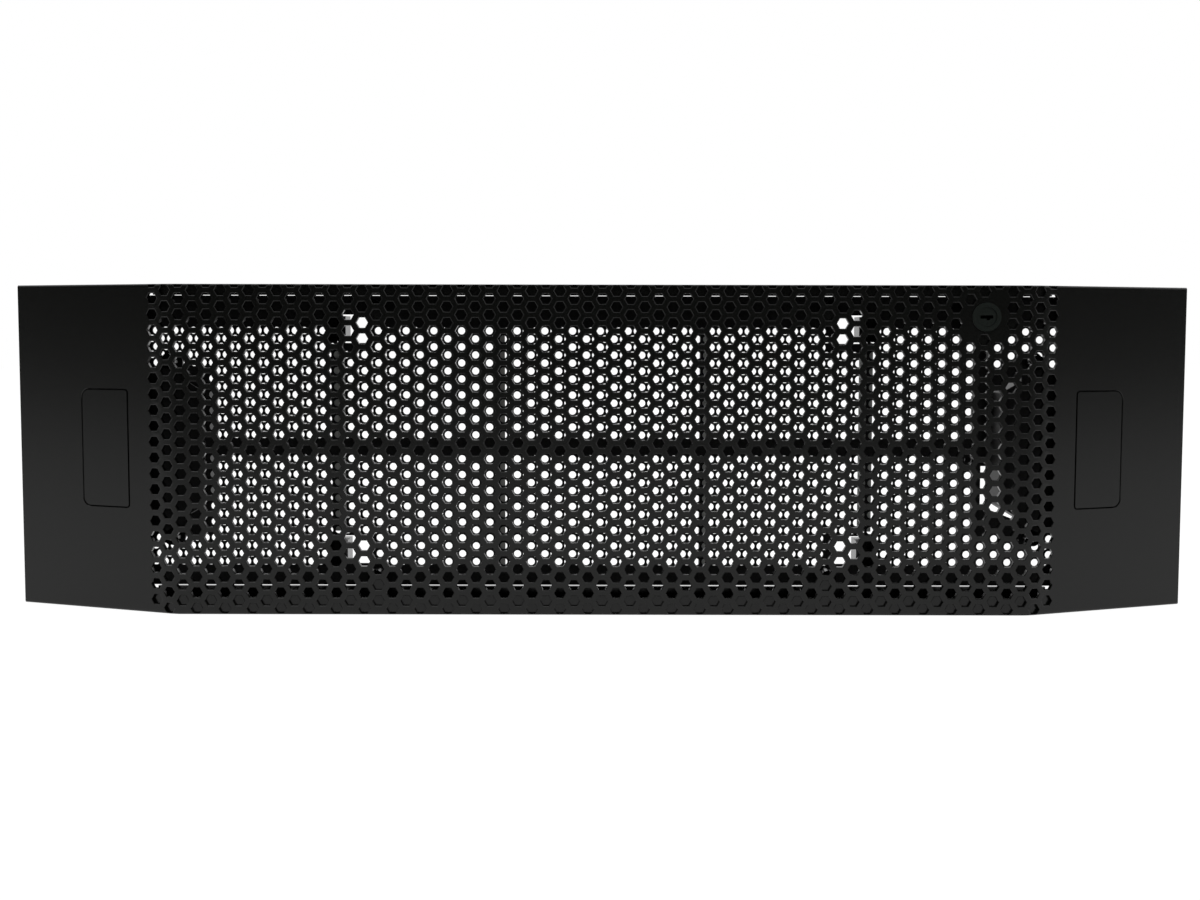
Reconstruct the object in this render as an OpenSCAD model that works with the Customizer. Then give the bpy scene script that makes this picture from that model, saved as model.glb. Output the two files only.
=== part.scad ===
// Server front bezel, three rack units high, with a pierced front, squeeze latches and a key lock.
// X runs to the right, the front faces -Y, Z is up. The origin is on the base, at the middle of the footprint.
// Lengths behind the front face are written as depths, counted from the flat centre face.

/* [Bezel] */
// Overall width
bezel_w = 482.6; // [476:0.2:486]
// Overall height, three rack units less clearance
bezel_h = 132; // [128:0.5:136]
// Width of each swept-back wing, seen from the front
wing_w = 70.3; // [68:0.1:73]
// How far the outer ends sit behind the centre face
setback = 28; // [24:0.5:30]
// Depth from the centre face to the rear rim
depth = 38; // [36:0.5:44]
// Wall thickness of the moulding
wall = 2.5; // [2:0.1:3]
// Rounding of the top and bottom front edges
edge_r = 1; // [0.5:0.1:2]
// Radius that the bends between the centre face and the wings follow
bend_r = 15; // [10:1:20]

/* [Grille] */
// Diameter of the grille's openings
hole_d = 8.4; // [6:0.1:9.4]
// Spacing of the columns of openings
col_pitch = 11.2; // [11:0.05:11.4]
// Spacing of the openings in a column
row_pitch = 12.7; // [12.3:0.05:13]
// Columns on each side of the middle one
cols_half = 16; // [8:1:16]
// Solid margin above and below the openings
grille_margin = 5.5; // [4:0.5:8]

/* [Rear screen] */
// Depth of the screen's front face
screen_u = 12; // [11:0.5:14]
// Thickness of the screen's sheet
screen_t = 0.8; // [0.5:0.1:1.5]
// Reach of the screen past the flat centre face
screen_past = 10; // [4:0.5:11]
// Gap between the screen and the lips above and below it
slit = 0.8; // [0.4:0.1:2]
// Height of the lip below the screen
lip_bottom = 9.8; // [7:0.1:10]
// Height of the lip above the screen, from the top
lip_top = 4.1; // [3.5:0.1:5]
// Solid border of the sheet below its windows
border_bottom = 7.7; // [6:0.1:10]
// Solid border of the sheet above its windows
border_top = 9.4; // [8:0.1:12]
// Solid bar across the middle of the sheet
mid_bar = 4.9; // [3:0.1:8]
// Diameter of the screen's perforations
mesh_d = 7.5; // [2:0.1:8]
// Spacing of the screen's perforations
mesh_pitch = 9; // [3.7:0.02:12]

/* [Release buttons] */
// Width of a button along the wing
button_w = 22; // [18:0.5:24]
// Height of a button
button_h = 47; // [40:1:54]
// Distance of the buttons' centres from the ends
button_inset = 39.8; // [38:0.2:41]
// Groove around a button
button_gap = 0.55; // [0.4:0.05:0.8]
// Travel of a button into the wing
button_travel = 3; // [2:0.1:3.2]

/* [Latches] */
// Height of a latch slide
slide_h = 16; // [12:0.5:20]
// Thickness of a latch slide
slide_t = 3; // [2:0.1:3.4]
// Depth of a latch slide's front face
slide_u = 29.5; // [29:0.1:30]
// How far the hooks reach behind the rear rim
hook_reach = 6; // [4:0.5:8]
// How far a hook's barb stands out
barb = 4; // [2:0.5:4.5]
// Wire of a latch spring
spring_wire = 0.7; // [0.5:0.1:0.9]

/* [Lock] */
// Distance of the lock from the edge of the flat centre face
lock_inset = 19; // [17:0.5:21]
// Distance of the lock below the top
lock_drop = 12.5; // [12:0.5:14]
// Diameter of the lock's body
lock_d = 10; // [9.5:0.1:11]
// Diameter of the turning plug
plug_d = 8; // [6:0.1:8.4]
// Distance of the cam's pin from the lock's axis
cam_r = 5; // [4:0.1:5.4]
// Width of the lock bar
bar_w = 5; // [4:0.1:6]

/* [Hidden] */

// Clearances: between sliding pieces, around screws, and for the lock's plug
gap = 0.3;
screw_gap = 0.3;
plug_gap = 0.05;

half_w = bezel_w / 2;
flat_half = half_w - wing_w;
mid_z = bezel_h / 2;
wing_angle = atan(setback / (half_w - flat_half));
bend_x = flat_half - bend_r * tan(wing_angle / 2);
over = 1;
// The front edges are rounded by flats, of which a full round would have this many
edge_sides = 12;

// The lock's ring stands out in front, the hooks stand out behind
ring_out = 0.5;
ring_w = 0.7;
front_y = -(depth + hook_reach - ring_out) / 2;

// Screws: thread, head and pilot
screw_d = 2.5;
head_d = 4.8;
head_t = 1.6;
screw_len = 8;
tip_gap = 1.5;
boss_d = 6;

// Screen: edges, fixings and windows
screen_lo = lip_bottom + slit;
screen_hi = bezel_h - lip_top - slit;
win_lo = screen_lo + border_bottom;
win_hi = screen_hi - border_top;
screen_half = flat_half + screen_past;
win_half = screen_half - 2;
boss_x = 91;
boss_inset = 4.2;
boss_zs = [screen_lo + boss_inset, screen_hi - boss_inset];
hook_x0 = 94.5;
hook_x1 = 110.3;
hook_w = 7.8;
hook_h = 10;
hook_open_h = 13;
hook_zs = [win_lo + hook_open_h / 2, win_hi + 3.2 - hook_open_h / 2];
hook_t = 2;
snap = 2;

// Stiffeners on the back of the screen
stiff_t = 1;
outer_x = 106.7;
outer_w = 5.5;
inner_x = 41;
inner_w = 3.2;
rivet_d = 2.2;
rivet_t = 0.7;

// Wing frame at a button's centre
button_x = half_w - button_inset;
button_u = (button_x - flat_half) * tan(wing_angle);
cap_t = 5;
flange = 1.5;
flange_t = 1.5;
collar_t = 1.6;
collar_len = 5;

// Latch housing: a tub that is open to the rear, in X and in height about the middle
tub_x0 = flat_half - 10;
tub_x1 = flat_half + 5;
tub_x2 = flat_half + 11;
tub_h0 = 45.8;
tub_h1 = 63.6;
tub_wall = 2;
tub_u0 = screen_u - 1;
tub_u1 = slide_u + slide_t + gap;
ear_x = flat_half + 2.5;
ear_r = 4.2;
ear_z = tub_h1 / 2 + 3.6;
cover_t = 1.6;
cover_screw_inset = 8;
cover_screw_z = tub_h1 / 2 - cover_screw_inset;

// Latch slide, from its spring to its hook
slide_x0 = flat_half + 4;
slide_x1 = half_w - 7.8;
slide_z0 = mid_z - slide_h / 2;
slide_rear = slide_u + slide_t;
win_x0 = button_x - 9.5;
win_x1 = button_x + 1.5;
win_h = 10;
arm_t = 2.5;
hook_arm_x = half_w - 12.3;
hook_arm_h = 12;
barb_t = 3.5;
rod_d = 2.4;
rod_x0 = flat_half - 6.5;
guide_x0 = half_w - 27.3;
guide_x1 = half_w - 15.3;
guide_rib = 6;
keeper_t = 1.6;
spring_od = 5.6;
spring_turns = 6;
rod_u = slide_u + slide_t / 2;

// Button: wall of its cap and the wedge behind it
button_wall = 2;
wedge_h = 8;
wedge_x1 = button_x - 4;

// Lock: depths of its pieces and the cam's rest angle
lock_x = flat_half - lock_inset;
lock_z = bezel_h - lock_drop;
lock_boss_d = 17;
lock_boss_u = 6;
nut_t = 3;
nut_d = 15;
barrel_u = 23.5;
cam_u0 = barrel_u + 0.5;
cam_t = 2.5;
cam_pin_d = 3;
cam_angle = 45;
cam_hub = 10.5;
guide_wall = 1.7;
guide_rise = 12;
guide_z0 = mid_z + guide_rise;
guide_h = 9;
key_w = 5;
key_t = 1.3;
bar_u0 = cam_u0 + cam_t + 0.5;
bar_t = 2;
bar_x1 = tub_x0 - gap;
bar_travel = 2 * cam_r * sin(cam_angle);
foot_drop = 8;
foot_z0 = mid_z - foot_drop;
foot_h = 13;
foot_w = 10;
pin_z = lock_z + cam_r * sin(cam_angle);
pin_x0 = lock_x + cam_r * cos(cam_angle);
pin_x1 = lock_x + cam_r;

// ---- Helpers ----

// Moves depths to the frame's Y
module place() translate([0, front_y, 0]) children();

// Extrudes an outline in X and Z between two depths
module slab(u0, u1) translate([0, u1, 0]) rotate([90, 0, 0]) linear_extrude(u1 - u0) children();

// Draws its children on the right, or mirrored on the left
module side(s) mirror([s < 0 ? 1 : 0, 0, 0]) children();

// A box between two corners
module block(a, b) translate(a) cube(b - a);

// A rod along the depth
module rod(x, z, d, u0, u1) slab(u0, u1) translate([x, z]) circle(d = d);

// The frame of the right wing at its button: x along the wing, y into it
module wing() translate([button_x, button_u, mid_z]) rotate([0, 0, wing_angle]) children();

// A cross-head screw along the depth, its head at the rear; u is the depth of the seat
module screw(x, z, u, len) {
  difference() {
    rod(x, z, head_d, u, u + head_t);
    translate([0, 0, z]) block([x - 1.4, u + 0.8, -0.3], [x + 1.4, u + head_t + over, 0.3]);
    translate([0, 0, z]) block([x - 0.3, u + 0.8, -1.4], [x + 0.3, u + head_t + over, 1.4]);
  }
  rod(x, z, screw_d, u - len, u);
}

// A boss from one depth to another, with a pilot bore from the rear
module boss(x, z, u0, u1) difference() {
  rod(x, z, boss_d, u0, u1);
  rod(x, z, screw_d + 2 * screw_gap, u1 - screw_len, u1 + over);
}

// ---- Front shell ----

// Side profile of the moulding in depth and height
module section() {
  translate([edge_r, 0]) square([half_w, bezel_h]);
  translate([0, edge_r]) square([2 * edge_r, bezel_h - 2 * edge_r]);
  for (z = [edge_r, bezel_h - edge_r]) translate([edge_r, z]) circle(edge_r, $fn = edge_sides);
}

// The profile drawn out along a face that is turned by phi about the bend's axis
module face_slab(phi) translate([bend_x, bend_r, 0]) rotate([0, 0, phi])
  translate([-bezel_w, -bend_r, 0]) rotate([90, 0, 90]) linear_extrude(bezel_w + half_w) section();

// The whole outer form: the centre, a facet at each bend and the wings
module outer_form() intersection() {
  block([-half_w, -over, -over], [half_w, depth, bezel_h + over]);
  face_slab(0);
  face_slab(wing_angle / 2);
  face_slab(wing_angle);
  side(-1) face_slab(wing_angle / 2);
  side(-1) face_slab(wing_angle);
}

// Corner of the plan between two faces of a bend, inside the outer form by o; turn is its angle about the bend's axis
function bend_corner(o, turn) = let (r = (bend_r - o) / cos(wing_angle / 4))
  [bend_x + r * sin(turn), bend_r - r * cos(turn)];
function wing_end(o) = let (p = bend_corner(o, wing_angle * 3 / 4))
  [half_w - o, p[1] + (half_w - o - p[0]) * tan(wing_angle)];

// What lies inside the outer form by o, with plain edges, back to a given depth
module inner_form(o, len) {
  right = [bend_corner(o, wing_angle / 4), bend_corner(o, wing_angle * 3 / 4), wing_end(o), [half_w - o, len]];
  left = [for (k = [3:-1:0]) [-right[k][0], right[k][1]]];
  translate([0, 0, o]) linear_extrude(bezel_h - 2 * o) polygon(concat(right, left));
}

// Depth that an opening at x has to reach to go through the front
function cut_u(x) = max(0, (abs(x) - flat_half) * tan(wing_angle)) + wall / cos(wing_angle) + 0.7;

// Heights of the openings in column i; the solid edges above and below them follow the roundings
function rows(i) = [
  for (k = [-6:5])
    let (z = mid_z + row_pitch * (i % 2 == 0 ? k + 0.5 : k))
      if (z - hole_d / 2 > grille_margin && z + hole_d / 2 < bezel_h - grille_margin) z
];

// Is there an opening here, or does the lock's boss take its place?
function open_at(x, z) = norm([x - lock_x, z - lock_z]) > (lock_boss_d + hole_d) / 2 - 2;

// The openings of the grille, all along the depth
module grille_holes() for (i = [-cols_half:cols_half]) for (z = rows(i))
  if (open_at(i * col_pitch, z)) rod(i * col_pitch, z, hole_d, -over, cut_u(i * col_pitch));

// Outline of a button, with small corners inwards and larger ones outwards
module button_outline(grow) {
  w = button_w / 2 + grow;
  h = button_h / 2 + grow;
  r0 = 1 + grow;
  r1 = 3.2 + grow;
  translate([r0 - w, -h]) square([2 * w - r0 - r1, 2 * h]);
  translate([-w, r0 - h]) square([w, 2 * (h - r0)]);
  translate([0, r1 - h]) square([w, 2 * (h - r1)]);
  for (m = [0, 1]) mirror([0, m]) {
    translate([r0 - w, h - r0]) circle(r0);
    translate([w - r1, h - r1]) circle(r1);
  }
}

// The walls that guide a button's flange
module collar() wing() difference() {
  slab(wall / 2, wall + collar_len) button_outline(flange + gap + collar_t);
  slab(0, depth) button_outline(flange + gap);
}

// The channel that carries the outer end of a latch slide
module slide_guide() difference() {
  block([guide_x0, wall, slide_z0 - gap - guide_rib], [guide_x1, slide_rear + gap, mid_z + slide_h / 2 + gap + guide_rib]);
  block([guide_x0 - over, slide_u - gap, slide_z0 - gap], [guide_x1 + over, depth, mid_z + slide_h / 2 + gap]);
  for (z = keeper_zs) rod((guide_x0 + guide_x1) / 2, z, screw_d + 2 * screw_gap, slide_rear + gap - screw_len, depth);
}
keeper_zs = [for (m = [-1, 1]) mid_z + m * (slide_h / 2 + gap + guide_rib / 2)];

// A snap hook that holds the edge of an opening in the screen
module snap_hook(z) translate([0, 0, z]) {
  x1 = hook_x1 - 0.5;
  block([x1 - hook_w, wall, -hook_h / 2], [x1, screen_u + screen_t + gap + hook_t, hook_h / 2]);
  translate([0, 0, -hook_h / 2]) linear_extrude(hook_h) polygon([
    [x1 - over, screen_u + screen_t + gap],
    [x1 + snap, screen_u + screen_t + gap],
    [x1, screen_u + screen_t + gap + hook_t],
    [x1 - over, screen_u + screen_t + gap + hook_t]
  ]);
}

module lips() {
  block([-screen_half, screen_u, wall / 2], [screen_half, screen_u + 2, lip_bottom]);
  block([-screen_half, screen_u, bezel_h - lip_top], [screen_half, screen_u + 2, bezel_h - wall / 2]);
}

module front_shell() color([0.11, 0.11, 0.1]) place() {
  difference() {
    outer_form();
    inner_form(wall, depth + over);
    grille_holes();
    for (s = [-1, 1]) side(s) wing() slab(-depth, 2 * wall) button_outline(button_gap);
    rod(lock_x, lock_z, lock_d + 2 * gap, -over, 2 * wall);
  }
  for (s = [-1, 1]) side(s) {
    intersection() {
      union() {
        collar();
        slide_guide();
      }
      inner_form(wall / 2, depth);
    }
    for (z = boss_zs) boss(boss_x, z, wall, screen_u);
    for (m = [-1, 1]) boss(ear_x, mid_z + m * ear_z, wall, tub_u0);
    for (z = hook_zs) snap_hook(z);
  }
  lips();
  difference() {
    rod(lock_x, lock_z, lock_boss_d, wall, lock_boss_u);
    rod(lock_x, lock_z, lock_d + 2 * gap, 0, depth);
  }
}

// ---- Rear screen ----

// Outline of the latch housing's front with its screw ears, grown by g
module tub_outline(g) {
  polygon([
    [tub_x0 - g, -tub_h0 / 2 - g], [tub_x1, -tub_h1 / 2 - g], [tub_x2 + g, -tub_h1 / 2 - g],
    [tub_x2 + g, tub_h1 / 2 + g], [tub_x1, tub_h1 / 2 + g], [tub_x0 - g, tub_h0 / 2 + g]
  ]);
}

module ear_outline(g) for (m = [-1, 1]) translate([ear_x, m * ear_z]) {
  circle(ear_r + g);
  translate([-ear_r - g, m > 0 ? -ear_z / 3 : 0]) square([2 * (ear_r + g), ear_z / 3]);
}

// Perforations in one window, in staggered rows
module mesh(lo, hi) {
  row_step = mesh_pitch * sin(60);
  count = floor((hi - lo - mesh_d) / row_step);
  start = (lo + hi - count * row_step) / 2;
  n = floor((win_half - mesh_d / 2) / mesh_pitch - 0.5);
  for (j = [0:count]) for (i = [-n:n - (j % 2)]) {
    x = mesh_pitch * (i + (j % 2) / 2);
    z = start + j * row_step;
    if (mesh_clear(x, z)) translate([x, z]) circle(d = mesh_d);
  }
}

// Is the sheet free for a perforation here, away from its fixings and cut-outs?
function mesh_clear(x, z) =
  let (r = mesh_d / 2 + 0.5, ax = abs(x))
    !(ax > tub_x0 - 1 - r && abs(z - mid_z) < ear_z + ear_r + 1 + r)
    && !(ax > hook_x0 - r && ax < hook_x1 + r
      && min([for (h = hook_zs) abs(z - h)]) < hook_open_h / 2 + r)
    && norm([ax - boss_x, z - boss_zs[0]]) > boss_d / 2 + r
    && norm([ax - boss_x, z - boss_zs[1]]) > boss_d / 2 + r
    && norm([x - lock_x, z - lock_z]) > nut_d / 2 + r;

module rear_screen() color([0.2, 0.2, 0.2]) place() slab(screen_u, screen_u + screen_t) difference() {
  translate([-screen_half, screen_lo]) square([2 * screen_half, screen_hi - screen_lo]);
  mesh(win_lo, mid_z - mid_bar / 2);
  mesh(mid_z + mid_bar / 2, win_hi);
  for (m = [0, 1]) mirror([m, 0]) {
    translate([0, mid_z]) tub_outline(0.6);
    translate([0, mid_z]) ear_outline(0.6);
    translate([tub_x2 - over, mid_z - tub_h1 / 2 - 0.6]) square([screen_half, tub_h1 + 1.2]);
    for (z = boss_zs) translate([boss_x, z]) circle(d = screw_d + 2 * screw_gap);
    for (z = hook_zs) translate([hook_x0, z - hook_open_h / 2]) square([hook_x1 - hook_x0, hook_open_h]);
  }
  translate([lock_x, lock_z]) circle(d = lock_d + 3);
}

// ---- Stiffeners ----

outer_zs = [hook_zs[0] + hook_open_h / 2 + 1, hook_zs[1] - hook_open_h / 2 - 1];
inner_zs = [screen_lo + 1, screen_hi - 1];
stiff_u = screen_u + screen_t;

// Heights of the rivets on a strip between two heights
function rivet_zs(zs) = [for (f = [0.07, 0.5, 0.93]) zs[0] + f * (zs[1] - zs[0])];

module strip(x, w, zs) color([0.72, 0.73, 0.72]) place() slab(stiff_u, stiff_u + stiff_t) difference() {
  translate([x - w / 2, zs[0]]) square([w, zs[1] - zs[0]]);
}

module left_outer_stiffener() strip(-outer_x, outer_w, outer_zs);
module right_outer_stiffener() strip(outer_x, outer_w, outer_zs);
module left_inner_stiffener() strip(-inner_x, inner_w, inner_zs);
module right_inner_stiffener() strip(inner_x, inner_w, inner_zs);

module stiffener_rivets() color("silver") place() for (s = [-1, 1]) {
  for (z = rivet_zs(outer_zs)) rod(s * outer_x, z, rivet_d, stiff_u + stiff_t, stiff_u + stiff_t + rivet_t);
  for (z = rivet_zs(inner_zs)) rod(s * inner_x, z, rivet_d, stiff_u + stiff_t, stiff_u + stiff_t + rivet_t);
}

module screen_screws() color("silver") place() for (s = [-1, 1]) for (z = boss_zs)
  screw(s * boss_x, z, stiff_u, screen_t + screw_len - over);

// ---- Release buttons ----

// The wedge on the back of a button; its slope pushes the latch slide inwards by as much as the button moves
module wedge() {
  px = -sin(wing_angle);
  pu = cos(wing_angle);
  slope = (1 + px) / pu;
  lean = px / pu;
  x0 = win_x0 + gap + 0.05;
  tip_u = slide_u + 2;
  low_u = slide_u - button_travel;
  front_u = wall;
  intersection() {
    translate([0, 0, mid_z - wedge_h / 2]) linear_extrude(wedge_h) polygon([
      [x0 + (tip_u - slide_u) * slope, tip_u],
      [x0 + (low_u - slide_u) * slope, low_u],
      [x0 + (low_u - slide_u) * slope + (front_u - low_u) * lean, front_u],
      [wedge_x1 + (front_u - tip_u) * lean, front_u],
      [wedge_x1, tip_u]
    ]);
    wing() slab(wall / 2, depth) translate([-button_w / 2, -button_h / 2]) square([button_w, button_h]);
  }
}

module button() color([0.16, 0.17, 0.17]) place() {
  wing() difference() {
    union() {
      slab(0, cap_t) button_outline(0);
      slab(wall + gap, wall + gap + flange_t) button_outline(flange);
    }
    slab(button_wall, depth) square([button_w - 2 * button_wall, button_h - 2 * button_wall], center = true);
  }
  wedge();
}

module left_button() side(-1) button();
module right_button() button();

// ---- Latches ----

module latch() color([0.14, 0.14, 0.14]) place() {
  tail = depth + hook_reach;
  difference() {
    block([slide_x0, slide_u, slide_z0], [slide_x1, slide_rear, slide_z0 + slide_h]);
    block([win_x0, 0, mid_z - win_h / 2], [win_x1, depth, mid_z + win_h / 2]);
  }
  translate([0, 0, mid_z - hook_arm_h / 2]) linear_extrude(hook_arm_h) polygon([
    [hook_arm_x, slide_rear], [hook_arm_x + arm_t, slide_rear],
    [hook_arm_x + arm_t, tail - barb_t], [hook_arm_x + arm_t + barb, tail - barb_t],
    [hook_arm_x + arm_t + barb, tail - barb_t + 0.8], [hook_arm_x + arm_t, tail], [hook_arm_x, tail]
  ]);
  translate([rod_x0, rod_u, mid_z]) rotate([0, 90, 0]) cylinder(h = slide_x0 - rod_x0, d = rod_d);
}

module left_latch() side(-1) latch();
module right_latch() latch();

// A coil along X as a swept ring of points
module coil(x0, x1, od, wire, turns) {
  steps = 14;
  sides = 6;
  n = turns * steps;
  r = (od - wire) / 2;
  pitch = (x1 - x0 - wire) / n;
  points = [
    for (i = [0:n]) for (j = [0:sides - 1])
      let (a = 360 * i / steps, b = 360 * j / sides, q = r + wire / 2 * cos(b))
        [x0 + wire / 2 + i * pitch + wire / 2 * sin(b), q * cos(a), q * sin(a)]
  ];
  walls = [
    for (i = [0:n - 1]) for (j = [0:sides - 1])
      let (k = (j + 1) % sides)
        [i * sides + j, i * sides + k, (i + 1) * sides + k, (i + 1) * sides + j]
  ];
  split = [for (f = walls) for (t = [[f[0], f[1], f[2]], [f[0], f[2], f[3]]]) t];
  caps = [[for (j = [0:sides - 1]) sides - 1 - j], [for (j = [0:sides - 1]) n * sides + j]];
  polyhedron(points = points, faces = concat(split, caps));
}

module latch_spring() color("silver") place() translate([0, rod_u, mid_z])
  coil(tub_x0 + tub_wall + 0.2, slide_x0 - 0.2, spring_od, spring_wire, spring_turns);

module left_latch_spring() side(-1) latch_spring();
module right_latch_spring() latch_spring();

// ---- Latch housings, covers and keepers ----

cover_screw_x = ear_x - 2;
cover_zs = [for (m = [-1, 1]) mid_z + m * cover_screw_z];

module latch_housing(with_guide) color([0.09, 0.09, 0.09]) place() {
  slide_z1 = slide_z0 + slide_h;
  difference() {
    union() {
      translate([0, 0, mid_z]) slab(tub_u0, tub_u0 + tub_wall) tub_outline(0);
      translate([0, 0, mid_z]) slab(tub_u0, tub_u0 + tub_wall) ear_outline(0);
      translate([0, 0, mid_z]) slab(tub_u0, tub_u1) difference() {
        tub_outline(0);
        tub_outline(-tub_wall);
      }
      for (z = [slide_z0 - gap - tub_wall, slide_z1 + gap])
        block([slide_x0 - 3, tub_u0, z], [tub_x2, tub_u1, z + tub_wall]);
      block([slide_x0 + 1, tub_u0, slide_z0 - gap - 1], [slide_x0 + 3, slide_u - gap, slide_z1 + gap + 1]);
      for (z = cover_zs) rod(cover_screw_x, z, boss_d, tub_u0, tub_u1);
    }
    for (m = [-1, 1]) rod(ear_x, mid_z + m * ear_z, screw_d + 2 * screw_gap, 0, depth);
    for (z = cover_zs) rod(cover_screw_x, z, screw_d + 2 * screw_gap, tub_u1 - screw_len, depth);
    block([tub_x2 - tub_wall - over, slide_u - gap, slide_z0 - gap], [tub_x2 + over, depth, slide_z1 + gap]);
    translate([tub_x0 - over, rod_u, mid_z]) rotate([0, 90, 0]) cylinder(h = tub_wall + 2 * over, d = rod_d + 2 * gap);
  }
  if (with_guide) difference() {
    block([bar_x1 - bar_w - gap - guide_wall, bar_u0 - gap - guide_wall, guide_z0],
      [tub_x0, bar_u0 + bar_t + gap + guide_wall, guide_z0 + guide_h]);
    block([bar_x1 - bar_w - gap, bar_u0 - gap, guide_z0 - over], [tub_x0, bar_u0 + bar_t + gap, guide_z0 + guide_h + over]);
  }
}

module left_latch_housing() side(-1) latch_housing(false);
module right_latch_housing() latch_housing(true);

module latch_cover() color([0.12, 0.12, 0.12]) place() slab(tub_u1, tub_u1 + cover_t) difference() {
  translate([0, mid_z]) tub_outline(0);
  for (z = cover_zs) translate([cover_screw_x, z]) circle(d = screw_d + 2 * screw_gap);
  translate([tub_x0 + tub_wall, mid_z - spring_od / 2 - gap])
    square([slide_x0 - tub_x0 - tub_wall, spring_od + 2 * gap]);
}

module left_latch_cover() side(-1) latch_cover();
module right_latch_cover() latch_cover();

module latch_keeper() color([0.12, 0.12, 0.12]) place() slab(tub_u1, tub_u1 + keeper_t) difference() {
  w = guide_x1 - guide_x0;
  h = slide_h + 2 * (gap + guide_rib);
  translate([guide_x0, mid_z - h / 2]) square([w, h]);
  for (z = keeper_zs) translate([guide_x0 + w / 2, z]) circle(d = screw_d + 2 * screw_gap);
}

module left_latch_keeper() side(-1) latch_keeper();
module right_latch_keeper() latch_keeper();

module latch_screws() color("silver") place() {
  for (m = [-1, 1]) screw(ear_x, mid_z + m * ear_z, tub_u0 + tub_wall, tub_wall + screw_len - tip_gap);
  for (z = cover_zs) screw(cover_screw_x, z, tub_u1 + cover_t, cover_t + screw_len - over);
  for (z = keeper_zs) screw((guide_x0 + guide_x1) / 2, z, tub_u1 + keeper_t, keeper_t + screw_len - over);
}

module left_latch_screws() side(-1) latch_screws();
module right_latch_screws() latch_screws();

// ---- Lock ----

module lock_cylinder() color([0.35, 0.35, 0.36]) place() difference() {
  union() {
    rod(lock_x, lock_z, lock_d + 2 * ring_w, -ring_out, 0);
    rod(lock_x, lock_z, lock_d, 0, barrel_u);
  }
  rod(lock_x, lock_z, plug_d + 2 * plug_gap, -over, depth);
}

module lock_plug() color([0.3, 0.3, 0.31]) place() difference() {
  rod(lock_x, lock_z, plug_d, 0, cam_u0);
  translate([lock_x, 0, lock_z]) block([-key_w / 2, -over, -key_t / 2], [key_w / 2, barrel_u / 3, key_t / 2]);
  translate([lock_x, 0, lock_z]) block([0, -over, -key_t], [key_w / 4, barrel_u / 3, 0]);
  rod(lock_x, lock_z, screw_d + 2 * screw_gap, cam_u0 - screw_len, depth);
}

module lock_nut() color("silver") place() slab(lock_boss_u, lock_boss_u + nut_t) translate([lock_x, lock_z])
  difference() {
    circle(d = nut_d, $fn = 6);
    circle(d = lock_d + gap);
  }

module lock_cam() color([0.6, 0.6, 0.58]) place() {
  difference() {
    slab(cam_u0, cam_u0 + cam_t) translate([lock_x, lock_z]) rotate(cam_angle) {
      circle(r = cam_hub / 2);
      translate([0, -cam_pin_d]) square([cam_r, 2 * cam_pin_d]);
      translate([cam_r, 0]) circle(r = cam_pin_d);
    }
    rod(lock_x, lock_z, screw_d + 2 * screw_gap, 0, depth);
    rod(lock_x, lock_z, head_d + 2 * screw_gap, cam_u0 + cam_t - head_t, depth);
  }
  rod(pin_x0, pin_z, cam_pin_d, cam_u0 + cam_t, bar_u0 + bar_t + 0.5);
}

module cam_screw() color("silver") place()
  screw(lock_x, lock_z, cam_u0 + cam_t - head_t, cam_t - head_t + screw_len - over);

module lock_bar() color([0.13, 0.13, 0.13]) place() {
  slot_x0 = pin_x0 - cam_pin_d / 2 - gap;
  slot_x1 = pin_x1 + cam_pin_d / 2 + gap;
  slot_h = cam_pin_d + 2 * gap;
  slab(bar_u0, bar_u0 + bar_t) difference() {
    union() {
      translate([bar_x1 - bar_w, foot_z0]) square([bar_w, pin_z - foot_z0]);
      translate([slot_x0 - 1.5, pin_z - slot_h / 2 - 3]) square([bar_x1 - slot_x0 + 1.5, slot_h + 4.5]);
    }
    translate([slot_x0, pin_z - slot_h / 2]) square([slot_x1 - slot_x0, slot_h]);
  }
  difference() {
    block([bar_x1 - foot_w, bar_u0, foot_z0], [bar_x1, slide_rear, foot_z0 + foot_h]);
    translate([bar_x1 - foot_w - over, rod_u, mid_z]) rotate([0, 90, 0]) cylinder(h = foot_w + 2 * over, d = rod_d + 4 * gap);
  }
}

front_shell();
rear_screen();
left_outer_stiffener();
right_outer_stiffener();
left_inner_stiffener();
right_inner_stiffener();
stiffener_rivets();
screen_screws();
left_button();
right_button();
left_latch();
right_latch();
left_latch_spring();
right_latch_spring();
left_latch_housing();
right_latch_housing();
left_latch_cover();
right_latch_cover();
left_latch_keeper();
right_latch_keeper();
left_latch_screws();
right_latch_screws();
lock_cylinder();
lock_plug();
lock_nut();
lock_cam();
cam_screw();
lock_bar();
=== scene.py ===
"""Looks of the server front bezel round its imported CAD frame.

Metres. X runs to the right, the front faces -Y and Z runs up.
"""

import math

import bpy
from mathutils import Matrix, Vector
from mathutils.geometry import delaunay_2d_cdt
from mathutils.kdtree import KDTree


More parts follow.
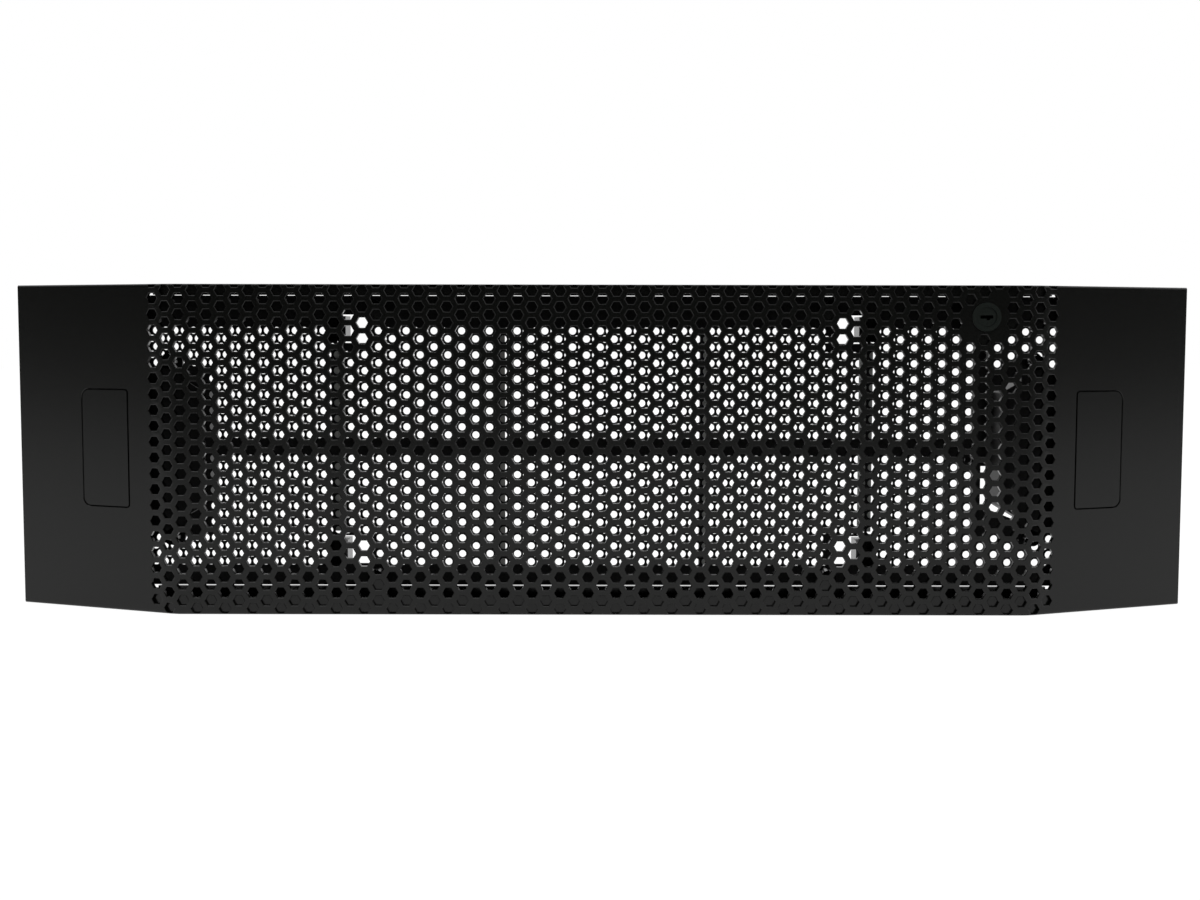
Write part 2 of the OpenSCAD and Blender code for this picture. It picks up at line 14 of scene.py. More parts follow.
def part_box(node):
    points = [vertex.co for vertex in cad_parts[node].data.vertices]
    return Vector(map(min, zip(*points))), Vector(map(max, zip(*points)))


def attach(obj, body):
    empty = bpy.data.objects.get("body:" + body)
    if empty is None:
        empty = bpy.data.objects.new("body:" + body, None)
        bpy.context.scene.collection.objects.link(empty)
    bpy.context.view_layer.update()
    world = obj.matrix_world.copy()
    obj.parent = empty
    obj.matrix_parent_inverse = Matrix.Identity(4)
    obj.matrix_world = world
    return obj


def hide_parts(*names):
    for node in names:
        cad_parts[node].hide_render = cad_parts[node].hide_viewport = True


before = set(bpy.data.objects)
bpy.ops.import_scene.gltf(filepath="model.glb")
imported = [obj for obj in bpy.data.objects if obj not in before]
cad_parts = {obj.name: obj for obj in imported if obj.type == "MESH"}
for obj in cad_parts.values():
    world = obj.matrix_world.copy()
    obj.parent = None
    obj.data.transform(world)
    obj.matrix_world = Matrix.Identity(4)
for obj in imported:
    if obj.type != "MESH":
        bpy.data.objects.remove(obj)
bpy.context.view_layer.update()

MM = 0.001
TINY = 0.001 * MM

SHARP_ANGLE = math.radians(32)
ARC_STEPS = 6
BEND_STEPS = 5
ROUND_SIDES = 32

# ---- Driving dimensions, the overall ones from the frame ----

SHELL_LO, SHELL_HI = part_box("front_shell")
HALF_W = SHELL_HI.x
HEIGHT = SHELL_HI.z
MID_Z = HEIGHT / 2
FRONT_Y = SHELL_LO.y
REAR_Y = SHELL_HI.y
WALL = 2.5 * MM
EDGE_R = 1 * MM
BEND_R = 15 * MM
FLAT_HALF = 171 * MM
SETBACK = 28 * MM
WING_ANGLE = math.atan(SETBACK / (HALF_W - FLAT_HALF))
BEND_X = FLAT_HALF - BEND_R * math.tan(WING_ANGLE / 2)

# Grille: hexagons with points to the sides, in staggered columns
COL_PITCH = 5.6 * MM
ROW_PITCH = 6.35 * MM
COLS_HALF = 32
ROWS_HALF = 11
RIM_FLATS = 4.55 * MM
HOLE_FLATS = 4.05 * MM
BEVEL = 0.22 * MM
BLIND_DEPTH = 1.3 * MM
BLIND_BELOW = 7 * MM
BLIND_ABOVE = 4 * MM
EDGE_STRIP = 0.15 * MM
# Column and row, from the middle, of the hexagons that the screen's screw bosses fill
BOSS_COL = 16
BOSS_ROW = 8.5

# Lock
PLUG_LO, PLUG_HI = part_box("lock_plug")
LOCK_X = (PLUG_LO.x + PLUG_HI.x) / 2
LOCK_Z = (PLUG_LO.z + PLUG_HI.z) / 2
LOCK_HOLE_R = 5.3 * MM
LOCK_PLAIN_R = 9 * MM
LOCK_BOSS_R = 11 * MM

# Buttons
BUTTON_W = 22 * MM
BUTTON_H = 47 * MM
BUTTON_X = 201.5 * MM
BUTTON_GAP = 0.55 * MM
BUTTON_R_IN = 1 * MM
BUTTON_R_OUT = 3.2 * MM
GROOVE_BEVEL = 0.18 * MM
BUTTON_EDGE = 0.25 * MM
# Further out than this a wing has no opening but the button's
BUTTON_ZONE_X = BUTTON_X - 0.75 * BUTTON_W

# Screen
SCREEN_LO, SCREEN_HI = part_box("rear_screen")
MESH_D = 2.98 * MM
MESH_PITCH = 3.731 * MM
MESH_ROW = 3.234 * MM
MESH_X0 = -45.6 * MM
MESH_Z0 = 113.64 * MM
MESH_SIDES = 12
MESH_CLEAR = 0.4 * MM
WINDOW_BOTTOM = 7.7 * MM
WINDOW_TOP = 9.4 * MM
MID_BAR = 4.9 * MM
SCREEN_REACH = 186 * MM
SIDE_BORDER = 1 * MM
HOUSING_SLANT = 6 * MM
HOUSING_INNER_H = 45.8 * MM
HOUSING_OUTER_H = 63.6 * MM
HOUSING_GAP = 0.1 * MM
SLIT_CLOSE_LOW = 0.3 * MM
SLIT_CLOSE_TOP = 0.55 * MM
HOOK_CUT_NEAR = 93.6 * MM
HOOK_CUT_FAR = 107.0 * MM
HOOK_CUT_HALF_H = 5.7 * MM
HOOK_ZS = (24.8 * MM, 114.4 * MM)
SCREW_X = 91 * MM
SCREW_ZS = (14.8 * MM, 122.9 * MM)
SCREW_HOLE_R = 1.55 * MM
LOCK_CUT_R = 6.5 * MM
LOCK_CLEAR_R = 8.5 * MM

# Grid on which the vertices of two sheets count as one. No dimension is a whole number of half cells.
WELD = 0.0137 * MM

# How far a face of the CAD shell may lie from the plain shell and still belong to it
PLANE_OFF = 0.02 * MM
SKIN_NEAR = 0.1 * MM
SKIN_OFF = 0.3 * MM

# Stage
FLOOR_REACH = 4.0
FLOOR_DROP = 0.2 * MM
FLOOR_GLOW = 1.2
FLOOR_GLOW_SHARE = 0.8
SKY_LIGHT = 0.32
SKY_SEEN = 1.0
CARD_Y = -0.70
CARD_HALF_W = 3.0
CARD_TOP = 2.2

# Camera
CAM_X = -1.1 * MM
CAM_DISTANCE = 626.5 * MM
CAM_HEIGHT = 113.5 * MM
CAM_PITCH = math.radians(4.295)
CAM_YAW = math.radians(0.021)
CAM_ROLL = math.radians(0.111)
CAM_LENS = 47.36


# ---- Helpers ----

def new_object(name, verts, faces, body, slot, replaces=()):
    mesh = bpy.data.meshes.new(name)
    mesh.from_pydata([tuple(v) for v in verts], [], faces)
    mesh.validate()
    obj = bpy.data.objects.new(name, mesh)
    bpy.context.scene.collection.objects.link(obj)
    mesh.polygons.foreach_set("use_smooth", [True] * len(mesh.polygons))
    mesh.set_sharp_from_angle(angle=SHARP_ANGLE)
    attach(obj, body)
    if replaces:
        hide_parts(*replaces)
    return obj


def directed_rim(triangles):
    """Edges of one triangle only, in the direction their triangle runs."""
    edges = {(t[i], t[(i + 1) % 3]) for t in triangles for i in range(3)}
    return [e for e in edges if (e[1], e[0]) not in edges]


def cut_sheet(outline, holes, lines=()):
    """An outline in X and Z less its holes, split along lines, as 2D points and triangles."""
    points, edges, faces = [], [], []
    for ring in [outline, *holes]:
        start = len(points)
        points += [Vector(p) for p in ring]
        faces.append(list(range(start, len(points))))
    for a, b in lines:
        start = len(points)
        points += [Vector(a), Vector(b)]
        edges.append((start, start + 1))
    out, _, tris, _, _, origin = delaunay_2d_cdt(points, edges, faces, 0, 1e-7, True)
    keep = [t for t, o in zip(tris, origin) if set(o) == {0}]
    used = sorted({i for t in keep for i in t})
    index = {old: new for new, old in enumerate(used)}
    flat = [out[i] for i in used]
    tris = [[index[i] for i in t] for t in keep]
    for t in tris:
        a, b, c = (flat[i] for i in t)
        if (b - a).cross(c - a) < 0:
            t.reverse()
    return flat, tris


def hexagon(x, z, flats):
    """A hexagon with points to the sides, cut off just below the top of the shell."""
    ring = ring_of(x, z, flats / math.sqrt(3), 6)
    top = HEIGHT - EDGE_STRIP
    cut = []
    for (x0, z0), (x1, z1) in zip(ring, ring[1:] + ring[:1]):
        if z0 <= top:
            cut.append((x0, z0))
        if (z0 - top) * (z1 - top) < 0:
            cut.append((x0 + (x1 - x0) * (top - z0) / (z1 - z0), top))
    return cut


def ring_of(x, z, r, n, turn=0.0):
    angles = [2 * math.pi * (k + turn) / n for k in range(n)]
    return [(x + r * math.cos(a), z + r * math.sin(a)) for a in angles]


def mirrored(ring, side):
    """A ring of the right side, put on the given side without turning it over."""
    return ring if side > 0 else [(-x, z) for x, z in reversed(ring)]


# ---- The moulding's form ----

def skin_depth(x, inset):
    """Depth behind the centre face, at x, of the surface that lies inset inside the outer form."""
    r = BEND_R - inset
    past = abs(x) - BEND_X
    if past <= 0:
        return inset
    if past <= r * math.sin(WING_ANGLE):
        return BEND_R - math.sqrt(r * r - past * past)
    return BEND_R - r * math.cos(WING_ANGLE) + (past - r * math.sin(WING_ANGLE)) * math.tan(WING_ANGLE)


def skin_point(x, z, inset):
    """Point at x and z on the skin, with its edges rounded at the top and bottom."""
    r = EDGE_R - inset
    near = min(z, HEIGHT - z) - inset
    extra = 0.0
    if near < r:
        extra = r - math.sqrt(max(r * r - (r - max(near, 0.0)) ** 2, 0.0))
    return Vector((x, FRONT_Y + skin_depth(x, inset + extra), z))


def inner_point(x, z):
    """Point at x on the shell's inside, at z or at the nearest height inside its walls."""
    return skin_point(x, min(max(z, WALL), HEIGHT - WALL), WALL)


def break_lines(inset):
    """Lines along which a skin is split: all along its rounded edges, and across its rim at the bends."""
    reach_x = HALF_W + MM
    reach_z = HEIGHT + MM
    r = EDGE_R - inset
    lines = []
    for k in range(ARC_STEPS if r > 0 else 0):
        drop = inset + r * (1 - math.sin(math.radians(90 * k / ARC_STEPS)))
        lines += [((-reach_x, z), (reach_x, z)) for z in (drop, HEIGHT - drop)]
    bend = (BEND_R - inset) * math.sin(WING_ANGLE)
    near = inset + EDGE_STRIP * 2 / 3
    for k in range(BEND_STEPS + 1):
        x = BEND_X + bend * k / BEND_STEPS
        for a, b in ((-MM, near), (HEIGHT - near, reach_z)):
            lines += [((s * x, a), (s * x, b)) for s in (-1, 1)]
    return lines


def column_heights(i):
    """Heights of the hexagons in column i. Every other column is half a pitch higher."""
    shift = 0.5 if i % 2 == 0 else 0.0
    found = [MID_Z + ROW_PITCH * (k + shift) for k in range(-ROWS_HALF, ROWS_HALF)]
    return [z for z in found if 0 < z < HEIGHT + HOLE_FLATS / 4]


def grille_places():
    """(x, z, blind) of each hexagon."""
    places = []
    for i in range(-COLS_HALF, COLS_HALF + 1):
        x = i * COL_PITCH
        for z in column_heights(i):
            off = math.hypot(x - LOCK_X, z - LOCK_Z)
            if off < LOCK_PLAIN_R:
                continue
            blind = z < BLIND_BELOW or HEIGHT - z < BLIND_ABOVE or off < LOCK_BOSS_R
            places.append((x, z, blind or on_screw_boss(x, z)))
    return places


def on_screw_boss(x, z):
    """Hexagons that a boss of the screen's screws fills from behind."""
    return (abs(abs(x) - BOSS_COL * COL_PITCH) < MM
            and abs(abs(z - MID_Z) - BOSS_ROW * ROW_PITCH) < MM)


def button_outline(side, grow, shift=0.0):
    """A button's outline in X and Z as it lies on its wing, grown, and moved along X."""
    w, h = BUTTON_W / 2 + grow, BUTTON_H / 2 + grow
    r_in, r_out = BUTTON_R_IN + grow, BUTTON_R_OUT + grow
    corners = [(w - r_out, h - r_out, r_out, 0), (r_in - w, h - r_in, r_in, 90),
               (r_in - w, r_in - h, r_in, 180), (w - r_out, r_out - h, r_out, 270)]
    points = []
    for cx, cz, r, start in corners:
        for k in range(ARC_STEPS + 1):
            a = math.radians(start + 90 * k / ARC_STEPS)
            out = BUTTON_X + (cx + r * math.cos(a)) * math.cos(WING_ANGLE)
            points.append((side * out + shift, MID_Z + cz + r * math.sin(a)))
    return points if side > 0 else points[::-1]


# ---- Shell ----

def front_skin():
    """The pierced front with the walls of its openings, out to the rear rim."""
    places = grille_places()
    tree = KDTree(len(places))
    for k, (x, z, _) in enumerate(places):
        tree.insert((x, z, 0), k)
    tree.balance()
    outline = [(-HALF_W, 0), (HALF_W, 0), (HALF_W, HEIGHT), (-HALF_W, HEIGHT)]
    holes = [hexagon(x, z, RIM_FLATS) for x, z, _ in places]
    holes += [button_outline(s, BUTTON_GAP + GROOVE_BEVEL) for s in (-1, 1)]
    holes.append(ring_of(LOCK_X, LOCK_Z, LOCK_HOLE_R, ROUND_SIDES))
    flat, tris = cut_sheet(outline, holes, break_lines(0.0))
    verts = [skin_point(p.x, p.y, 0.0) for p in flat]
    faces = [list(t) for t in tris]
    inner_scale = HOLE_FLATS / RIM_FLATS
    made = {}
    floors = {}

    def extra(key, place):
        if key not in made:
            made[key] = len(verts)
            verts.append(place)
        return made[key]

    def chain(i, kind, k):
        """The points behind rim point i: its bevel's foot and its wall's foot. k is its hexagon."""
        p = flat[i]
        if kind == "hexagon":
            cx, cz, blind = places[k]
            x, z = cx + (p.x - cx) * inner_scale, cz + (p.y - cz) * inner_scale
            z = min(z, HEIGHT - EDGE_STRIP)
            top = skin_point(x, z, 0.0) + Vector((0, BEVEL, 0))
            deep = top + Vector((0, BLIND_DEPTH, 0)) if blind else inner_point(x, z)
            return [extra((i, k, 1), top), extra((i, k, 2), deep)]
        if kind == "button":
            s = 1 if p.x > 0 else -1
            into = Vector((-s * math.sin(WING_ANGLE), math.cos(WING_ANGLE), 0))
            x0 = BUTTON_X * s
            scale_x = (BUTTON_W / 2 + BUTTON_GAP) / (BUTTON_W / 2 + BUTTON_GAP + GROOVE_BEVEL)
            scale_z = (BUTTON_H / 2 + BUTTON_GAP) / (BUTTON_H / 2 + BUTTON_GAP + GROOVE_BEVEL)
            q = skin_point(x0 + (p.x - x0) * scale_x, MID_Z + (p.y - MID_Z) * scale_z, 0.0)
            return [extra((i, "b", 1), q + into * GROOVE_BEVEL), extra((i, "b", 2), q + into * WALL)]
        if kind == "lock":
            front = verts[i]
            return [i, extra((i, "l", 2), front + Vector((0, WALL, 0)))]
        return [i, extra((i, "rim", 2), Vector((p.x, REAR_Y, p.y)))]

    for a, b in directed_rim(tris):
        mid = (flat[a] + flat[b]) / 2
        _, k, _ = tree.find((mid.x, mid.y, 0))
        if mid.y < TINY or mid.y > HEIGHT - TINY or abs(mid.x) > HALF_W - TINY:
            kind = "outer"
        elif abs(mid.x) > BUTTON_ZONE_X:
            kind = "button"
        elif math.hypot(mid.x - LOCK_X, mid.y - LOCK_Z) < LOCK_HOLE_R:
            kind = "lock"
        else:
            kind = "hexagon"
        a1, a2 = chain(a, kind, k)
        b1, b2 = chain(b, kind, k)
        ring = [b, a, a1, b1]
        if len(set(ring)) > 2:
            faces.append(list(dict.fromkeys(ring)))
        wall = list(dict.fromkeys([b1, a1, a2, b2]))
        if len(wall) > 2:
            faces.append(wall)
        if kind == "hexagon" and places[k][2] and a2 != b2:
            floors.setdefault(k, []).append((b2, a2))
    for rim in floors.values():
        centre = sum((verts[a] for a, _ in rim), Vector()) / len(rim)
        c = len(verts)
        verts.append(centre)
        faces += [[a, b, c] for a, b in rim]
    return verts, [f for f in faces if len(set(f)) > 2]


def back_skin():
    """The inside of the shell and its rear rim."""
    places = [(x, z) for x, z, blind in grille_places() if not blind]
    hx = HALF_W - WALL
    outline = [(-hx, WALL), (hx, WALL), (hx, HEIGHT - WALL), (-hx, HEIGHT - WALL)]
    holes = [hexagon(x, z, HOLE_FLATS) for x, z in places]
    slant = math.sin(WING_ANGLE) * WALL
    holes += [button_outline(s, BUTTON_GAP, -s * slant) for s in (-1, 1)]
    holes.append(ring_of(LOCK_X, LOCK_Z, LOCK_HOLE_R, ROUND_SIDES))
    flat, tris = cut_sheet(outline, holes, break_lines(WALL))
    verts = [skin_point(p.x, p.y, WALL) for p in flat]
    faces = [t[::-1] for t in tris]
    rear = {}
    for a, b in directed_rim(faces):
        if not all(abs(p.x) > hx - TINY or abs(p.y - MID_Z) > MID_Z - WALL - TINY
                   for p in (flat[a], flat[b])):
            continue
        for i in (a, b):
            if i not in rear:
                rear[i] = len(verts)
                verts.append(Vector((flat[i].x, REAR_Y, flat[i].y)))
        faces.append([b, a, rear[a], rear[b]])
    start = len(verts)
    for w, lo, hi in ((HALF_W, 0, HEIGHT), (hx, WALL, HEIGHT - WALL)):
        verts += [Vector((x, REAR_Y, z)) for x, z in ((-w, lo), (w, lo), (w, hi), (-w, hi))]
    faces += [[start + (k + 1) % 4, start + k, start + 4 + k, start + 4 + (k + 1) % 4] for k in range(4)]
    return verts, faces


def inner_features():
    """What stands on the inside of the CAD shell: bosses, lips, hooks, collars and guides.

    These are the faces of the CAD shell that lie on none of its plain inner and outer surfaces.
    """
    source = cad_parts["front_shell"].data
    co = [v.co for v in source.vertices]
    keep = []
    for p in source.polygons:
        pts = [co[i] for i in p.vertices]
        c = sum(pts, Vector()) / len(pts)
        if c.y < inner_point(c.x, c.z).y + SKIN_NEAR or c.y > REAR_Y - PLANE_OFF:
            continue
        walls = [all(abs(q.z - z) < PLANE_OFF for q in pts) for z in (0, WALL, HEIGHT - WALL, HEIGHT)]
        sides = [all(abs(abs(q.x) - x) < PLANE_OFF for q in pts) for x in (HALF_W, HALF_W - WALL)]
        on_skin = all(abs(q.y - inner_point(q.x, q.z).y) < SKIN_OFF for q in pts)
        if not (any(walls) or any(sides) or on_skin):
            keep.append(p)
    used = sorted({i for p in keep for i in p.vertices})
    index = {old: new for new, old in enumerate(used)}
    return [co[i] for i in used], [[index[i] for i in p.vertices] for p in keep]


def welded(*sheets):
    """Sheets of vertices and faces as one, with the vertices that meet made one."""
    verts, faces, index = [], [], {}
    for sheet_verts, sheet_faces in sheets:
        place = []
        for v in sheet_verts:
            key = tuple(round(c / WELD) for c in v)
            if key not in index:
                index[key] = len(verts)
                verts.append(v)
            place.append(index[key])
        for face in sheet_faces:
            ring = list(dict.fromkeys(place[i] for i in face))
            if len(ring) > 2:
                faces.append(ring)
    return verts, faces


def build_shell():
    verts, faces = welded(front_skin(), back_skin())
    skin = new_object("shell_skin", verts, faces, "base", "shell_plastic", ["front_shell"])
    normals = skin.modifiers.new("weighted", "WEIGHTED_NORMAL")
    normals.keep_sharp = True
    normals.weight = 100
    new_object("shell_features", *inner_features(), "base", "shell_plastic")


# ---- Rear screen ----

def screen_cutouts():
    """Outlines of the screen's cut-outs: for the latch housings, the snap hooks, the screws and the lock."""
    holes = []
    for side in (-1, 1):
        lo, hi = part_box("right_latch_housing" if side > 0 else "left_latch_housing")
        near, far = sorted((abs(lo.x), abs(hi.x)))
        near, far = near - HOUSING_GAP, far + HOUSING_GAP
        slant = far - HOUSING_SLANT
        h0, h1 = HOUSING_INNER_H / 2 + HOUSING_GAP, HOUSING_OUTER_H / 2 + HOUSING_GAP
        housing = [(near, MID_Z - h0), (slant, MID_Z - h1), (far, MID_Z - h1),
                   (far, MID_Z + h1), (slant, MID_Z + h1), (near, MID_Z + h0)]
        holes.append(mirrored(housing, side))
        for z in HOOK_ZS:
            lo_z, hi_z = z - HOOK_CUT_HALF_H, z + HOOK_CUT_HALF_H
            hook = [(HOOK_CUT_NEAR, lo_z), (HOOK_CUT_FAR, lo_z), (HOOK_CUT_FAR, hi_z), (HOOK_CUT_NEAR, hi_z)]
            holes.append(mirrored(hook, side))
        holes += [ring_of(side * SCREW_X, z, SCREW_HOLE_R, 16) for z in SCREW_ZS]
    holes.append(ring_of(LOCK_X, LOCK_Z, LOCK_CUT_R, 24))
    return holes


def screen_free(x, z, cutouts):
    """Whether a perforation at x and z keeps clear of the cut-outs."""
    r = MESH_D / 2 + MESH_CLEAR
    for ring in cutouts:
        xs, zs = [p[0] for p in ring], [p[1] for p in ring]
        if min(xs) - r < x < max(xs) + r and min(zs) - r < z < max(zs) + r:
            return False
    return math.hypot(x - LOCK_X, z - LOCK_Z) > LOCK_CLEAR_R


def perforations(cutouts):
    """Middles of the screen's round holes, in staggered rows within its two windows."""
    windows = [(SCREEN_LO.z + WINDOW_BOTTOM, MID_Z - MID_BAR / 2),
               (MID_Z + MID_BAR / 2, SCREEN_HI.z - WINDOW_TOP)]
    rows = math.ceil(HEIGHT / MESH_ROW)
    cols = math.ceil(2 * SCREEN_REACH / MESH_PITCH)
    found = []
    for j in range(-rows, rows):
        z = MESH_Z0 + j * MESH_ROW
        if not any(lo + MESH_D / 2 <= z <= hi - MESH_D / 2 for lo, hi in windows):
            continue
        for i in range(-cols, cols):
            x = MESH_X0 + (i + 0.5 * (j % 2)) * MESH_PITCH
            if abs(x) < SCREEN_REACH - SIDE_BORDER - MESH_D / 2 and screen_free(x, z, cutouts):
                found.append((x, z))
    return found


def build_screen():
    cutouts = screen_cutouts()
    holes = cutouts + [ring_of(x, z, MESH_D / 2, MESH_SIDES, 0.5) for x, z in perforations(cutouts)]
    lo, hi = SCREEN_LO, SCREEN_HI
    z0, z1 = lo.z - SLIT_CLOSE_LOW, hi.z + SLIT_CLOSE_TOP
    outline = [(-SCREEN_REACH, z0), (SCREEN_REACH, z0), (SCREEN_REACH, z1), (-SCREEN_REACH, z1)]
    flat, tris = cut_sheet(outline, holes)
    n = len(flat)
    verts = [Vector((p.x, lo.y, p.y)) for p in flat] + [Vector((p.x, hi.y, p.y)) for p in flat]
    faces = [list(t) for t in tris] + [[i + n for i in t[::-1]] for t in tris]
    faces += [[b, a, a + n, b + n] for a, b in directed_rim(tris)]
    new_object("screen_sheet", verts, faces, "base", "screen_paint", ["rear_screen"])


# ---- Materials ----

def material(name):
    mat = bpy.data.materials.new(name)
    mat.use_nodes = True
    nodes, links = mat.node_tree.nodes, mat.node_tree.links
    return mat, nodes, links, nodes["Principled BSDF"]


def grained(name, dark, light, rough, grain, bump=0.1, metallic=0.0, specular=0.5, spread=0.08):
    """A finish whose colour, gloss and relief follow one grain. grain is its fineness along each axis."""
    mat, nodes, links, shader = material(name)
    shader.inputs["Metallic"].default_value = metallic
    shader.inputs["Specular IOR Level"].default_value = specular
    place = nodes.new("ShaderNodeTexCoord")
    stretch = nodes.new("ShaderNodeMapping")
    stretch.inputs["Scale"].default_value = grain
    links.new(place.outputs["Object"], stretch.inputs["Vector"])
    noise = nodes.new("ShaderNodeTexNoise")
    noise.inputs["Scale"].default_value = 1.0
    noise.inputs["Detail"].default_value = 3.0
    links.new(stretch.outputs["Vector"], noise.inputs["Vector"])
    colour = nodes.new("ShaderNodeValToRGB")
    colour.color_ramp.elements[0].position = 0.35
    colour.color_ramp.elements[0].color = (*dark, 1)
    colour.color_ramp.elements[1].position = 0.65
    colour.color_ramp.elements[1].color = (*light, 1)
    links.new(noise.outputs["Fac"], colour.inputs["Fac"])
    links.new(colour.outputs["Color"], shader.inputs["Base Color"])
    gloss = nodes.new("ShaderNodeMapRange")
    gloss.inputs["To Min"].default_value = rough - spread
    gloss.inputs["To Max"].default_value = rough + spread
    links.new(noise.outputs["Fac"], gloss.inputs["Value"])
    links.new(gloss.outputs["Result"], shader.inputs["Roughness"])
    relief = nodes.new("ShaderNodeBump")
    relief.inputs["Strength"].default_value = bump
    relief.inputs["Distance"].default_value = 0.1 * MM
    links.new(noise.outputs["Fac"], relief.inputs["Height"])
    links.new(relief.outputs["Normal"], shader.inputs["Normal"])
    return mat


def dress(names, mat):
    for name in names:
        obj = bpy.data.objects[name] if name in bpy.data.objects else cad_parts[name]
        obj.data.materials.clear()
        obj.data.materials.append(mat)


def build_materials():
    satin_look = {"rough": 0.24, "grain": (1600, 1600, 1600), "bump": 0.05, "specular": 0.29, "spread": 0.04}
    matt_look = {"rough": 0.5, "bump": 0.2, "specular": 0.2}
    satin = grained("satin_black", (0.0044, 0.0046, 0.0040), (0.0060, 0.0064, 0.0056), **satin_look)
    button = grained("satin_button", (0.0046, 0.0050, 0.0045), (0.0062, 0.0068, 0.0061), **satin_look)
    paint = grained("screen_black", (0.010,) * 3, (0.018,) * 3, grain=(900, 900, 900), **matt_look)
    plastic = grained("housing_black", (0.008,) * 3, (0.014,) * 3, grain=(1500, 1500, 1500), **matt_look)
    zinc = grained("zinc", (0.52, 0.53, 0.51), (0.68, 0.69, 0.66), 0.45, grain=(500, 500, 120), bump=0.15,
                   metallic=0.3)
    steel = grained("screw_steel", (0.22,) * 3, (0.34,) * 3, 0.32, grain=(1200, 1200, 1200), metallic=1.0)
    spring = grained("spring_steel", (0.40,) * 3, (0.55,) * 3, 0.25, grain=(300, 2500, 2500), metallic=1.0)
    lock = grained("lock_black", (0.008, 0.011, 0.009), (0.013, 0.017, 0.014), 0.38,
                   grain=(1800, 1800, 1800), bump=0.15, specular=0.2)
    dress(["shell_skin", "shell_features"], satin)
    dress(["left_button", "right_button"], button)
    dress(["screen_sheet"], paint)
    for side in ("left_", "right_"):
        dress([side + n for n in ("latch", "latch_housing", "latch_cover", "latch_keeper")], plastic)
        dress([side + "outer_stiffener", side + "inner_stiffener"], zinc)
        dress([side + "latch_screws"], steel)
        dress([side + "latch_spring"], spring)
    dress(["stiffener_rivets", "lock_nut", "lock_cam"], zinc)
    dress(["screen_screws", "cam_screw"], steel)
    dress(["lock_cylinder", "lock_plug"], lock)
    dress(["lock_bar"], plastic)


def soften_edges():
    """Small bevels on the two buttons, which the CAD gives with plain edges."""
    for name in ("left_button", "right_button"):
        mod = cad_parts[name].modifiers.new("edge", "BEVEL")
        mod.width = BUTTON_EDGE
        mod.segments = 2
        mod.limit_method = "ANGLE"
        mod.angle_limit = math.radians(40)


# ---- Stage, light and camera ----

def seen_ray(nodes, links):
    """A value of 1 for rays of the camera and of mirrored and refracted sight, else 0."""
    path = nodes.new("ShaderNodeLightPath")
    total = path.outputs["Is Camera Ray"]
    for kind in ("Is Glossy Ray", "Is Transmission Ray"):
        add = nodes.new("ShaderNodeMath")
        add.operation = "ADD"
        add.use_clamp = True
        links.new(total, add.inputs[0])
        links.new(path.outputs[kind], add.inputs[1])
        total = add.outputs[0]
    return total


def stage_sheet(name, corners):
    mesh = bpy.data.meshes.new(name)
    mesh.from_pydata(corners, [], [(0, 1, 2, 3)])
    obj = bpy.data.objects.new(name, mesh)
    bpy.context.scene.collection.objects.link(obj)
    return obj


def build_stage():
    """A floor and a sky that are seen as plain white, and light the object less than they look."""
    square = ((-1, -1), (1, -1), (1, 1), (-1, 1))
    floor = stage_sheet("floor", [(x * FLOOR_REACH, y * FLOOR_REACH, -FLOOR_DROP) for x, y in square])
    mat, nodes, links, shader = material("floor_white")
    nodes.remove(shader)
    out = nodes["Material Output"]
    diffuse = nodes.new("ShaderNodeBsdfDiffuse")
    diffuse.inputs["Color"].default_value = (0.8, 0.8, 0.8, 1)
    glow = nodes.new("ShaderNodeEmission")
    glow.inputs["Strength"].default_value = FLOOR_GLOW
    share = nodes.new("ShaderNodeMath")
    share.operation = "MULTIPLY"
    share.inputs[1].default_value = FLOOR_GLOW_SHARE
    mix = nodes.new("ShaderNodeMixShader")
    links.new(seen_ray(nodes, links), share.inputs[0])
    links.new(share.outputs[0], mix.inputs[0])
    links.new(diffuse.outputs[0], mix.inputs[1])
    links.new(glow.outputs[0], mix.inputs[2])
    links.new(mix.outputs[0], out.inputs[0])
    floor.data.materials.append(mat)
    world = bpy.data.worlds.new("studio")
    bpy.context.scene.world = world
    world.use_nodes = True
    nodes, links = world.node_tree.nodes, world.node_tree.links
    back = nodes["Background"]
    back.inputs["Color"].default_value = (1, 1, 1, 1)
    level = nodes.new("ShaderNodeMapRange")
    level.inputs["To Min"].default_value = SKY_LIGHT
    level.inputs["To Max"].default_value = SKY_SEEN
    links.new(seen_ray(nodes, links), level.inputs["Value"])
    links.new(level.outputs["Result"], back.inputs["Strength"])


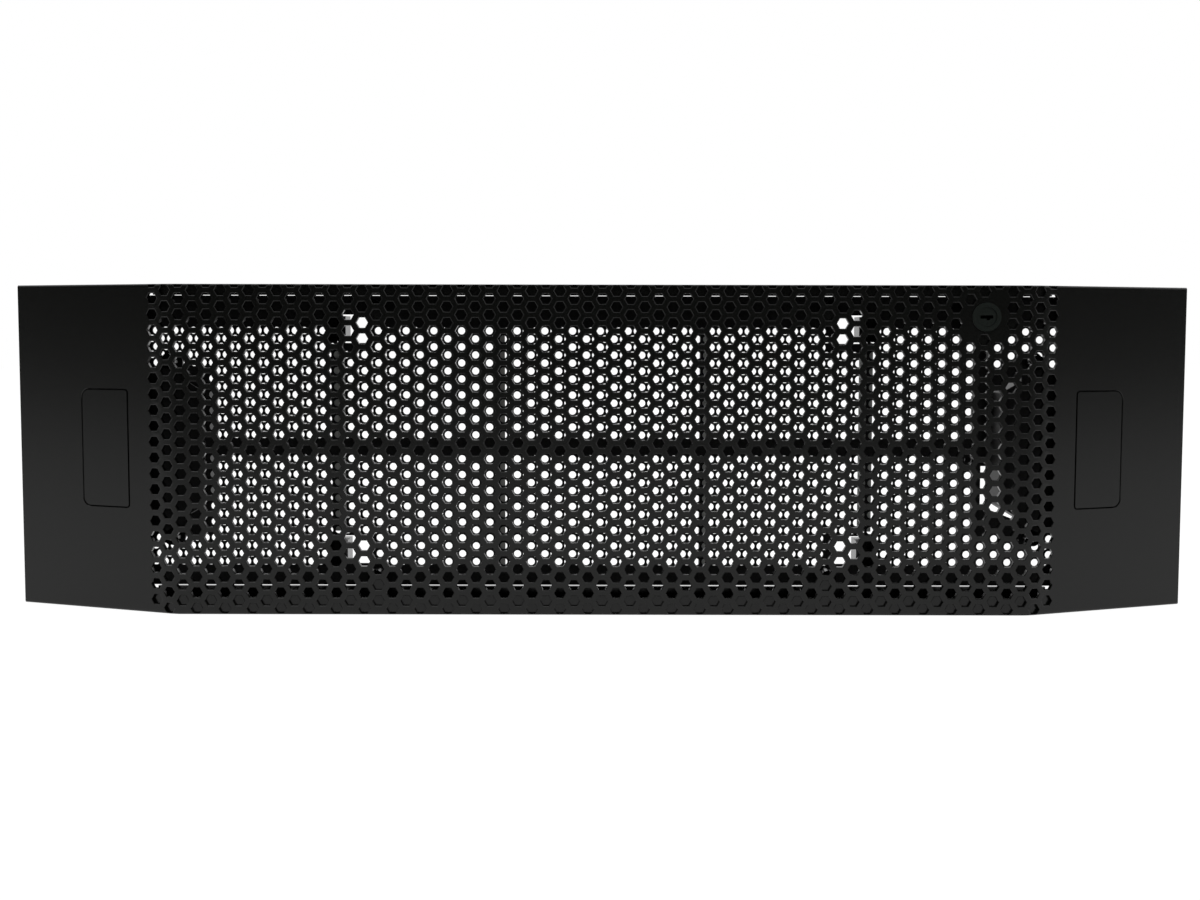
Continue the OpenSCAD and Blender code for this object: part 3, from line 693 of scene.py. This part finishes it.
def build_card():
    """A dark card in front, which the satin mirrors above the pale floor and the camera doesn't see."""
    w = CARD_HALF_W
    corners = [(-w, CARD_Y, 0.0), (w, CARD_Y, 0.0), (w, CARD_Y, CARD_TOP), (-w, CARD_Y, CARD_TOP)]
    card = stage_sheet("dark_card", corners)
    mat, _, _, shader = material("card_black")
    shader.inputs["Base Color"].default_value = (0.01, 0.01, 0.01, 1)
    shader.inputs["Roughness"].default_value = 0.9
    shader.inputs["Specular IOR Level"].default_value = 0.0
    card.data.materials.append(mat)
    card.visible_camera = False
    card.visible_diffuse = False
    card.visible_shadow = False
    card.visible_transmission = False


def area_light(name, place, target, size, power):
    data = bpy.data.lights.new(name, "AREA")
    data.shape = "RECTANGLE"
    data.size, data.size_y = size
    data.energy = power
    obj = bpy.data.objects.new(name, data)
    bpy.context.scene.collection.objects.link(obj)
    obj.location = place
    obj.rotation_euler = (Vector(target) - Vector(place)).to_track_quat("-Z", "Y").to_euler()


def build_lights():
    centre = (0, 0, MID_Z)
    area_light("key", (-0.3, -0.8, 1.6), centre, (1.8, 0.8), 8)
    area_light("fill", (1.4, -0.75, 1.0), centre, (1.0, 1.0), 3)
    area_light("back", (0.2, 1.3, 1.2), centre, (1.8, 1.0), 7)


def build_camera():
    data = bpy.data.cameras.new("camera")
    data.sensor_width = 36
    data.lens = CAM_LENS
    cam = bpy.data.objects.new("camera", data)
    bpy.context.scene.collection.objects.link(cam)
    bpy.context.scene.camera = cam
    ahead = Vector((math.sin(CAM_YAW) * math.cos(CAM_PITCH), math.cos(CAM_YAW) * math.cos(CAM_PITCH),
                    -math.sin(CAM_PITCH)))
    right = Vector((math.cos(CAM_YAW), -math.sin(CAM_YAW), 0))
    up = right.cross(ahead)
    tilted = math.cos(CAM_ROLL) * right + math.sin(CAM_ROLL) * up
    up = tilted.cross(ahead)
    turn = Matrix((tilted, up, -ahead)).transposed().to_4x4()
    cam.matrix_world = Matrix.Translation((CAM_X, FRONT_Y - CAM_DISTANCE, CAM_HEIGHT)) @ turn


build_camera()
build_stage()
build_card()
build_lights()
build_shell()
build_screen()
soften_edges()
build_materials()

view = bpy.context.scene.view_settings
view.view_transform = "Standard"
